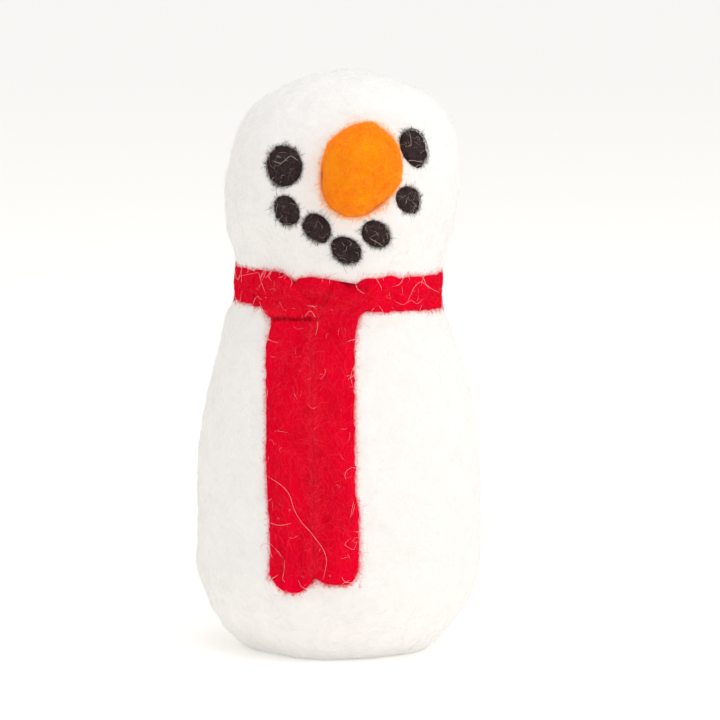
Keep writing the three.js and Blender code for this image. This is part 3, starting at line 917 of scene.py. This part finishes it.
class Tail:
    """One of the scarf's two tails. `edges` gives its two sides at a height, `top` and `full`
    where it starts and starts to round up at a place across, and `bottom` where it ends at a
    share sideways from -1 to 1. Its `tight_side`, -1 or 1, lies against the other tail."""

    def __init__(self, edges, top, full, bottom, tight_side, seed):
        self.edges, self.top, self.full, self.bottom = edges, top, full, bottom
        self.tight_side, self.seed = tight_side, seed

    def sideways(self, across, up):
        """-1 at the left edge to 1 at the right one."""
        left, right = self.edges(up)
        return 2 * (across - left) / (right - left) - 1

    def outside(self, across, up):
        """How far a place lies outside the tail's outline, negative inside it."""
        left, right = self.edges(up)
        foot = self.bottom(np.clip(self.sideways(across, up), -1, 1))
        ends = np.maximum(foot - up, up - self.top(across))
        return np.maximum(np.maximum(left - across, across - right), ends)

    def face(self, across, up):
        """How far the tail's face stands out, with lumps and dimples. It is rounded off at its
        sides and ends, and where the right tail joins the band, it sinks to just above it."""
        sideways = self.sideways(across, up)
        under = on_band(across, up)
        merged = rise((up + 2.6 * MM) / (1.5 * MM)) * rise((across - 0.5 * MM) / (3.5 * MM))
        face = mix(TAIL_FACE, under + THINNEST, merged)
        face = face + 1.3 * felt_lumps(across, up * 0.6, self.seed) - tail_dimples(across, up)
        fullness = bar(sideways, self.tight_side)
        fullness = fullness * end_fullness(up - self.bottom(sideways), FOOT_ROUNDING)
        fullness = fullness * end_fullness(self.full(across) - up, TIP_ROUNDING)
        return mix(under, np.maximum(face, under + THINNEST), fullness)

    def felt(self, name):
        """The tail as a mesh. Each ring runs across its face and back underneath."""
        sideways, on_face = strip_section(72, 0.45)
        share = np.linspace(0, 1, 300)[:, None]
        foot = self.bottom(sideways)
        left, right = self.edges(mix(-4 * MM, foot, share))
        up = mix(self.top(mix(left, right, (sideways + 1) / 2)), foot, share)
        left, right = self.edges(up)
        across = mix(left, right, (sideways + 1) / 2) + ragged(up, sideways, self.seed + 7)
        out = np.where(on_face, self.face(across, up), on_band(across, up))
        return tube_piece(name, on_wool(across, up, out), RED_WOOL)


left_tail = Tail(left_tail_edges, left_tail_top, left_tail_full, left_tail_bottom, 1, 51)
right_tail = Tail(right_tail_edges, right_tail_top, right_tail_top, right_tail_bottom, -1, 61)


def outside_scarf(across, up):
    """How far a place on the wool lies outside each scarf piece: band, flap, left, right."""
    across, up = np.broadcast_arrays(across, up)
    lower, upper = band_edges(across)
    band = np.maximum(lower - up, up - upper)
    lower, upper = flap_edges(across)
    flap_ends = np.maximum(FLAP_START - across, across - flap_stop(up))
    crossing = np.maximum(np.maximum(lower - up, up - upper), flap_ends)
    return band, crossing, left_tail.outside(across, up), right_tail.outside(across, up)


def outer_face(across, up):
    """How far out the outermost wool is at this place, be it white wool or scarf."""
    across, up = np.broadcast_arrays(across, up)
    out = wool_relief(across, up)
    faces = (band_face, flap_face, left_tail.face, right_tail.face)
    for outside, face in zip(outside_scarf(across, up), faces):
        out = np.where(outside < 0, np.maximum(out, face(across, up)), out)
    return out


# ---- Loose fibres ----

FIBRE_CORNERS = 3
CROWN_BARE = 0.5 * MM  # where the outline comes to its point
LYING = 0.02 * MM  # how far a lying fibre's middle is off the wool
STAND_VARIES = 0.65
ARCHED = 0.55  # the share of fibres with both ends down
WOBBLE = 0.22  # of a fibre's heading, in radians from point to point
UPRIGHT = np.pi / 2


class Fibre:
    """A kind of loose fibre: its wool, thickness, typical length, how high it typically stands
    off, how sharply it curls in radians a metre, and how many points it has. `vary` is how
    widely lengths differ, and a `darkness` above 1 leaves most fibres dark."""

    def __init__(self, material, slot, thickness, length, stand, curl, points,
                 vary=0.4, darkness=1.0):
        self.material, self.slot, self.thickness = material, slot, thickness * MM
        self.length, self.stand, self.curl, self.points = length * MM, stand * MM, curl, points
        self.vary, self.darkness = vary, darkness

    def lengths(self, rng, count):
        """Lengths spread about the typical one."""
        return self.length * rng.lognormal(0, self.vary, count).clip(0.4, 3)

    def stands(self, rng, count):
        """Heights that the fibres stand off at most, spread about the typical one."""
        return self.stand * rng.lognormal(0, STAND_VARIES, count).clip(0.25, 4.5)

    def tones(self, rng, count):
        """A tone for each fibre, from 0, dark, to 1, light."""
        return rng.random(count) ** self.darkness


WHITE_COUNT = 5200  # fibres drawn for the body, and as many for the head

# Thickness, length and stand are in millimetres.
WHITE_FUZZ = Fibre(WHITE_FIBRE, "white_wool", 0.035, 2.2, 0.17, curl=500, points=7)
RED_FUZZ = Fibre(RED_FIBRE, "red_wool", 0.03, 0.42, 0.06, curl=2200, points=5, vary=0.3,
                 darkness=2.5)
CREASE_GRAIN = Fibre(RED_FIBRE, "red_wool", 0.035, 1.1, 0.04, curl=350, points=5, darkness=3)
RED_GRAIN = Fibre(RED_FIBRE, "red_wool", 0.032, 1.8, 0.06, curl=350, points=5, vary=0.25,
                  darkness=3)
DARK_FUZZ = Fibre(BLACK_FIBRE, "black_wool", 0.032, 0.55, 0.067, curl=800, points=6,
                  darkness=2.5)
NOSE_FUZZ = Fibre(ORANGE_FIBRE, "orange_wool", 0.03, 1.0, 0.13, curl=500, points=6,
                  darkness=1.2)
NOSE_HALO = Fibre(ORANGE_FIBRE, "orange_wool", 0.03, 0.55, 0.08, curl=700, points=6,
                  darkness=0.5)
PALE_CURL = Fibre(PALE_FIBRE, "white_wool", 0.026, 1.0, 0.13, curl=900, points=16, vary=0.5)
GREY_CURL = Fibre(GREY_FIBRE, "white_wool", 0.028, 1.1, 0.1, curl=1400, points=14, darkness=1.3)
PALE_STRAY = Fibre(PALE_FIBRE, "white_wool", 0.042, 10, 0.2, curl=0, points=40, darkness=0.5)
GREY_STRAY = Fibre(GREY_FIBRE, "white_wool", 0.042, 5, 0.2, curl=0, points=40, darkness=0.2)


def fibre_piece(name, kind, paths, tones):
    """Many fibres as one mesh. Each is a thin tube along its path, tapering to its ends and
    closed there. `tones` gives each fibre's place between dark and light."""
    count, steps = paths.shape[:2]
    rng = np.random.default_rng(count)
    along = unit_direction(np.gradient(paths, axis=1))
    aside = unit_direction(np.cross(along, rng.normal(size=(count, 1, 3))))
    third = np.cross(along, aside)
    share = np.linspace(-1, 1, steps)[:, None, None]
    radius = kind.thickness / 2 * (1 - 0.75 * share ** 4)
    corner = (np.arange(FIBRE_CORNERS) * 2 * np.pi / FIBRE_CORNERS)[:, None]
    ring = aside[:, :, None] * np.cos(corner) + third[:, :, None] * np.sin(corner)
    points = paths[:, :, None] + radius * ring
    points[..., 2] = np.maximum(points[..., 2], 0)  # nothing goes under the floor
    starts = np.arange(count)[:, None] * steps * FIBRE_CORNERS
    sides = (starts[:, :, None] + ring_faces(steps, FIBRE_CORNERS)).reshape(-1, 4)
    first_end = starts + np.arange(FIBRE_CORNERS)[::-1]
    last_end = starts + (steps - 1) * FIBRE_CORNERS + np.arange(FIBRE_CORNERS)
    caps = np.concatenate([first_end, last_end])
    piece = new_piece(name, points, sides, kind.material, caps)
    tone = piece.data.attributes.new("tone", "FLOAT", "POINT")
    tone.data.foreach_set("value", np.repeat(tones, steps * FIBRE_CORNERS).astype(np.float32))
    piece.visible_shadow = False  # so fine a fibre dims hardly any light
    return finish_piece(piece, kind.slot)


def lift_along(kind, rng, count):
    """How far each point of each fibre stands off: an arch, or a rise to a free end."""
    share = np.linspace(0, 1, kind.points)
    arched = rng.random((count, 1)) < ARCHED
    shape = np.where(arched, np.sin(np.pi * share), share ** 1.6)
    return LYING + kind.stands(rng, count)[:, None] * shape


def wandering(kind, heading, step, rng):
    """Headings along each fibre: it turns steadily one way and wobbles."""
    count = len(heading)
    turn = rng.normal(0, kind.curl, (count, 1)) * step
    wobble = rng.normal(0, WOBBLE, (count, kind.points))
    return heading[:, None] + np.cumsum(turn + wobble, axis=1)


def lay_fibres(name, kind, face, across, up, heading, rng):
    """Fibres drawn over the wool from given places and headings, as one piece. Each is a walk
    of equal steps across and up, and it bridges a narrow crease instead of dipping into it."""
    count = len(across)
    step = (kind.lengths(rng, count) / (kind.points - 1))[:, None]
    heading = wandering(kind, heading, step, rng)
    angle = across / radius_at(up)
    up = up[:, None] + np.cumsum(step * np.sin(heading), axis=1)
    up = np.clip(up, 0.2 * MM - BODY_LENGTH, HEAD_LENGTH - CROWN_BARE)
    turned = np.cumsum(step * np.cos(heading) / np.maximum(radius_at(up), 2 * MM), axis=1)
    across = (angle[:, None] + turned) * radius_at(up)
    under = face(across, up)
    for _ in range(2):
        between = (under[:, :-2] + under[:, 2:]) / 2
        under[:, 1:-1] = np.maximum(under[:, 1:-1], between)
    paths = on_wool(across, up, under + lift_along(kind, rng, count))
    return fibre_piece(name, kind, paths, kind.tones(rng, count))


def any_way(rng, count):
    """Angles from a whole turn."""
    return rng.uniform(0, 2 * np.pi, count)


def joined(places):
    """One array for each column of a list of groups of places."""
    return [np.concatenate(column) for column in zip(*places)]


def clear_of_colours(across, up, reach):
    """Which places are at least `reach` away from the scarf, the nose and the dots."""
    clear = np.minimum.reduce(outside_scarf(across, up)) > reach
    for spot in [*dot_spots, nose_spot]:
        clear &= spot.outside(across, up) > reach
    return clear


def white_fuzz(name, low, high, count, seed):
    """White fibres strewn evenly over the wool between two heights: the height is drawn in
    proportion to the outline's radius there."""
    rng = np.random.default_rng(seed)
    ups = np.linspace(low, high, 200)
    area = np.cumsum(radius_at(ups))
    up = np.interp(rng.random(count) * area[-1], area, ups)
    across = rng.uniform(-np.pi, np.pi, count) * radius_at(up)
    kept = clear_of_colours(across, up, rng.uniform(0.5, 1.6, count) * MM)
    across, up = across[kept], up[kept]
    lay_fibres(name, WHITE_FUZZ, outer_face, across, up, any_way(rng, len(up)), rng)


def beside_edges(edges, start, stop, count, spread, rng):
    """Places scattered about a strip's two long edges, and which edge each is at, -1 or 1."""
    run = rng.uniform(start, stop, count)
    side = rng.choice([-1, 1], count)
    first, second = edges(run)
    return run, np.where(side < 0, first, second) + rng.normal(0, spread, count), side


def red_fuzz():
    """Short red fibres over all the scarf's edges, pointing any way but mostly outward."""
    rng = np.random.default_rng(207)
    places = []
    for edges, start, stop, count in ((band_edges, -BAND_REACH, BAND_REACH, 2600),
                                      (flap_edges, FLAP_START, -6 * MM, 160)):
        across, up, side = beside_edges(edges, start, stop, count, 0.25 * MM, rng)
        places.append((across, up, side * UPRIGHT))
    along, at_end = 1300, 190
    for tail in (left_tail, right_tail):
        up, across, side = beside_edges(tail.edges, TAIL_END, -2 * MM, along, 0.2 * MM, rng)
        places.append((across, up, np.where(side < 0, np.pi, 0)))
        sideways = rng.uniform(-1, 1, at_end)
        up = tail.bottom(sideways) + rng.normal(0, 0.15 * MM, at_end)
        across = mix(*tail.edges(up), (sideways + 1) / 2)
        places.append((across, up, np.full(at_end, -UPRIGHT)))
    across, up, heading = joined(places)
    heading = heading + rng.normal(0, 1.3, len(heading))
    lay_fibres("red_fuzz", RED_FUZZ, outer_face, across, up, heading, rng)


def crease_grain():
    """Red fibres lying along and over the crease between the tails, and over the left part of
    the crease under the crossing strand."""
    rng = np.random.default_rng(211)
    between, under = 3600, 500
    up = rng.uniform(TAIL_END + 0.5 * MM, -2 * MM, between)
    across = right_tail_edges(up)[0] + rng.normal(0, 0.2 * MM, between)
    across = np.concatenate([across, rng.uniform(-12.6 * MM, -9.5 * MM, under)])
    strand = flap_edges(across[between:])[0] + rng.normal(0, 0.2 * MM, under)
    heading = UPRIGHT + rng.normal(0, 0.5, between + under)
    lay_fibres("crease_grain", CREASE_GRAIN, outer_face, across,
               np.concatenate([up, strand]), heading, rng)


def is_on_scarf(across, up, inside):
    """Which places lie on the scarf, at least `inside` away from its outline."""
    return np.minimum.reduce(outside_scarf(across, up)) < -inside


def red_grain():
    """Longer red fibres lying on the scarf: up and down its tails, and along its band. Those
    that would run off it are left out."""
    rng = np.random.default_rng(221)
    down, along = 6000, 3000
    across = np.concatenate([rng.uniform(-13 * MM, 3 * MM, down),
                             rng.uniform(-BAND_REACH, BAND_REACH, along)])
    up = np.concatenate([rng.uniform(TAIL_END, 2 * MM, down),
                         rng.uniform(-HALF_WIDTH, HALF_WIDTH, along)])
    heading = np.repeat([UPRIGHT, 0], [down, along]) + rng.normal(0, 0.45, down + along)
    reach = 1.4 * RED_GRAIN.length
    ends = across + reach * np.cos(heading), up + reach * np.sin(heading)
    on_scarf = is_on_scarf(across, up, 0.25 * MM) & is_on_scarf(*ends, 0.25 * MM)
    across, up, heading = across[on_scarf], up[on_scarf], heading[on_scarf]
    lay_fibres("red_grain", RED_GRAIN, outer_face, across, up, heading, rng)


def dot_face(across, up):
    """How far out the face's wool is, with the dots' low domes."""
    out = outer_face(across, up)
    for spot in dot_spots:
        away = np.minimum(spot.distance(across, up), 1)
        out = np.where(away < 1, np.maximum(out, DOT_RISE * (1 - away ** 4) ** 0.5), out)
    return out


def round_spot(spot, nearest, farthest, count, rng):
    """Places strewn evenly about a spot between two shares of its reach, and the direction
    away from its middle at each."""
    turn = any_way(rng, count)
    reach = np.sqrt(rng.uniform(nearest ** 2, farthest ** 2, count))
    across, up = spot.at(reach * np.cos(turn), reach * np.sin(turn))
    return across, up, turn + spot.tilt


def dot_fuzz():
    """Dark fibres over every dot, thickest along its edge."""
    rng = np.random.default_rng(231)
    places = []
    for spot in dot_spots:
        share = spot.half_width * spot.half_length / EYE_LENGTH ** 2
        places.append(round_spot(spot, 0, 1, int(1200 * share), rng))
        places.append(round_spot(spot, 0.88, 1.04, int(1500 * share), rng))
    across, up, heading = joined(places)
    heading = heading + rng.normal(0, 1.6, len(heading))
    lay_fibres("dot_fuzz", DARK_FUZZ, dot_face, across, up, heading, rng)


def grey_curls():
    """Pale curls caught in the dots, more in some than in others."""
    rng = np.random.default_rng(271)
    places = [round_spot(spot, 0, 0.95, rng.integers(8, 22), rng) for spot in dot_spots]
    across, up, _ = joined(places)
    lay_fibres("grey_curls", GREY_CURL, dot_face, across, up, any_way(rng, len(up)), rng)


def nose_halo():
    """Short orange fibres lying on the white wool close round the nose."""
    rng = np.random.default_rng(251)
    across, up, heading = round_spot(nose_spot, 0.98, 1.08, 900, rng)
    heading = heading + rng.normal(0, 1.2, len(heading))
    lay_fibres("nose_halo", NOSE_HALO, outer_face, across, up, heading, rng)


def nose_fuzz():
    """Orange fibres over the nose: walks over its surface in level and turn."""
    rng = np.random.default_rng(241)
    count = 5200
    quarter = np.pi / 2
    level = np.arcsin(rng.random(count) ** 1.3) / quarter
    turn = any_way(rng, count)
    step = (NOSE_FUZZ.lengths(rng, count) / (NOSE_FUZZ.points - 1))[:, None]
    heading = wandering(NOSE_FUZZ, any_way(rng, count), step, rng)
    pace = step / nose_spot.half_length
    level = level[:, None] + np.cumsum(pace * np.sin(heading), axis=1) / quarter
    level = np.clip(level, -0.1, 0.985)
    turn = turn[:, None] + np.cumsum(pace * np.cos(heading) / np.cos(level * quarter), axis=1)
    surface = nose_point(level, turn)
    away = unit_direction(surface - nose_frame()[0])
    paths = surface + away * lift_along(NOSE_FUZZ, rng, count)[..., None]
    fibre_piece("nose_fuzz", NOSE_FUZZ, paths, NOSE_FUZZ.tones(rng, count))


def pale_curls():
    """Short pale curls caught here and there on the scarf."""
    rng = np.random.default_rng(261)
    on_tails, on_neck = 60, 18
    across = np.concatenate([rng.uniform(-13, 2, on_tails), rng.uniform(-20, 22, on_neck)]) * MM
    up = np.concatenate([rng.uniform(TAIL_END, 0, on_tails),
                         rng.uniform(-HALF_WIDTH, HALF_WIDTH, on_neck)])
    on_scarf = is_on_scarf(across, up, 0)
    across, up = across[on_scarf], up[on_scarf]
    lay_fibres("pale_curls", PALE_CURL, outer_face, across, up, any_way(rng, len(up)), rng)


# Long stray fibres that are easy to see, as the places across and up, in millimetres, that
# they pass: a long one and short ones on the scarf, and four on the face.
SCARF_STRAYS = [
    [(-13.5, -27.5), (-9.5, -29), (-8.5, -33.5), (-5, -37), (-3.5, -39.5), (-4.5, -43)],
    [(-13, -34.5), (-11, -35), (-9, -34.5)],
    [(-0.5, -36.5), (-1.5, -37.5), (0, -38.5), (0.5, -37)],
    [(0, -31), (-0.5, -33.5)],
    [(-10, -40), (-10.5, -43), (-10, -43.5)],
    [(-6.5, -4), (-5.5, -2.5), (-4.5, -4.5), (-5, -6.5)],
    [(9.5, -1), (10, 1), (12.5, 2.5), (15, 1), (18.5, 0)],
    [(7, -0.5), (8.5, -1.5), (10.5, -0.5), (11.5, -1.5), (13, -0.5)],
    [(-21.5, 1.5), (-14.5, 3), (-13, 1), (-12.5, -0.5)],
]
FACE_STRAYS = [
    [(-13, 20.5), (-11.5, 20), (-10, 21.5), (-8.5, 20.5)],
    [(8, 25.5), (8.5, 24), (8.5, 23), (7.5, 23)],
    [(7.5, 20.5), (8.5, 21), (11, 20.5)],
    [(2.5, 9.5), (5, 8)],
]


def curve_through(places, count):
    """An evenly spaced, rounded run of points through a few places."""
    places = np.array(places) * MM
    legs = np.linalg.norm(np.diff(places, axis=0), axis=1)
    along = np.concatenate([[0], np.cumsum(legs)])
    even = np.linspace(0, along[-1], count)
    line = np.stack([np.interp(even, along, column) for column in places.T], axis=-1)
    for _ in range(15):
        line[1:-1] = (line[:-2] + 2 * line[1:-1] + line[2:]) / 4
    return line


def stray_fibres(name, kind, strays, seed):
    """Long fibres along given curves, waving up off the wool a little."""
    rng = np.random.default_rng(seed)
    lines = np.stack([curve_through(places, kind.points) for places in strays])
    across, up = lines[..., 0], lines[..., 1]
    wave = 1 + 0.5 * np.sin(np.linspace(0, 3 * np.pi, kind.points))
    paths = on_wool(across, up, dot_face(across, up) + kind.stand * wave)
    fibre_piece(name, kind, paths, kind.tones(rng, len(strays)))


# ---- Making the figure ----

def make_figure():
    """One felt piece for every CAD node."""
    felts = [
        body_cover(),
        head_cover(),
        core("body_heart", "body_core", -0.9 * BODY_LENGTH, -COVER_GAP),
        core("head_heart", "head_core", 2 * COVER_GAP, HEAD_LENGTH - 2 * CROWN_HOLE),
        finish_piece(nose(), "orange_wool", "nose"),
        finish_piece(neck_band(), "red_wool", "scarf_neck_band"),
        finish_piece(flap(), "red_wool", "scarf_crossover"),
    ]
    for number, spot in enumerate(dot_spots):
        felts.append(finish_piece(dot(spot, 20 + number), "black_wool", spot.node))
    for tail, side in ((left_tail, "left"), (right_tail, "right")):
        felt = tail.felt(f"scarf_{side}_tail_felt")
        felts.append(finish_piece(felt, "red_wool", f"scarf_tail_{side}"))


make_figure()
white_fuzz("body_fuzz", -BODY_LENGTH + 1 * MM, -3 * MM, WHITE_COUNT, 101)
white_fuzz("head_fuzz", 3 * MM, HEAD_LENGTH - CROWN_BARE, WHITE_COUNT, 102)
red_fuzz()
crease_grain()
red_grain()
dot_fuzz()
nose_fuzz()
nose_halo()
stray_fibres("scarf_strays", PALE_STRAY, SCARF_STRAYS, 281)
stray_fibres("face_strays", GREY_STRAY, FACE_STRAYS, 282)
pale_curls()
grey_curls()


# ---- Stage, light and camera ----

VIEW_AZIMUTH = -6
VIEW_ELEVATION = 6.5
VIEW_DISTANCE = 0.6
VIEW_BESIDE = 3.5 * MM  # how far right of the figure's middle the camera aims


def stage():
    """A plain pale floor. A faint cool glow stands in for light from a wide white room."""
    half = 80 * HEIGHT
    corners = np.array([[-half, -half, 0], [half, -half, 0], [half, half, 0], [-half, half, 0]])
    material = bpy.data.materials.new("pale_floor")
    material.use_nodes = True
    shader = material.node_tree.nodes["Principled BSDF"]
    shader.inputs["Base Color"].default_value = (0.95, 0.91, 0.86, 1)
    shader.inputs["Roughness"].default_value = 0.9
    shader.inputs["Emission Color"].default_value = (0.9, 0.95, 1, 1)
    shader.inputs["Emission Strength"].default_value = 0.25
    floor = new_piece("floor", corners, np.array([[0, 1, 2, 3]]), material)


def direction_to(azimuth, elevation):
    """The direction from the figure to a viewer at these angles, in degrees, from its front."""
    a, e = np.radians(azimuth), np.radians(elevation)
    return Vector((np.sin(a) * np.cos(e), -np.cos(a) * np.cos(e), np.sin(e)))


def place_looking(name, data, target, direction, distance):
    """A lamp or camera at a distance from the target, facing it."""
    thing = bpy.data.objects.new(name, data)
    thing.location = target + direction * distance
    thing.rotation_euler = direction.to_track_quat("Z", "Y").to_euler()
    bpy.context.scene.collection.objects.link(thing)
    return thing


def area_light(name, azimuth, elevation, size, power):
    """A soft square light on the middle of the figure, `size` metres wide."""
    light = bpy.data.lights.new(name, "AREA")
    light.size = size
    light.energy = power
    middle = Vector((0, 0, HEIGHT / 2))
    place_looking(name, light, middle, direction_to(azimuth, elevation), 0.9)


def studio_light():
    """A key light from the right, one from above, and white light from all round."""
    area_light("key", 55, 30, size=0.5, power=1.45)
    area_light("top", 20, 75, size=0.6, power=2.2)
    world = bpy.data.worlds.new("studio")
    world.use_nodes = True
    background = world.node_tree.nodes["Background"]
    background.inputs["Color"].default_value = (1, 1, 1, 1)
    background.inputs["Strength"].default_value = 0.75
    bpy.context.scene.world = world
    bpy.context.scene.view_settings.view_transform = "Standard"


def camera():
    """A long lens a little above the figure, and a little left of its front."""
    data = bpy.data.cameras.new("camera")
    data.lens = 192.8
    data.sensor_width = 36
    azimuth = np.radians(VIEW_AZIMUTH)
    beside = Vector((np.cos(azimuth), np.sin(azimuth), 0)) * VIEW_BESIDE
    target = Vector((0, 0, HEIGHT / 2)) + beside
    direction = direction_to(VIEW_AZIMUTH, VIEW_ELEVATION)
    eye = place_looking("camera", data, target, direction, VIEW_DISTANCE)
    bpy.context.scene.camera = eye


stage()
studio_light()
camera()
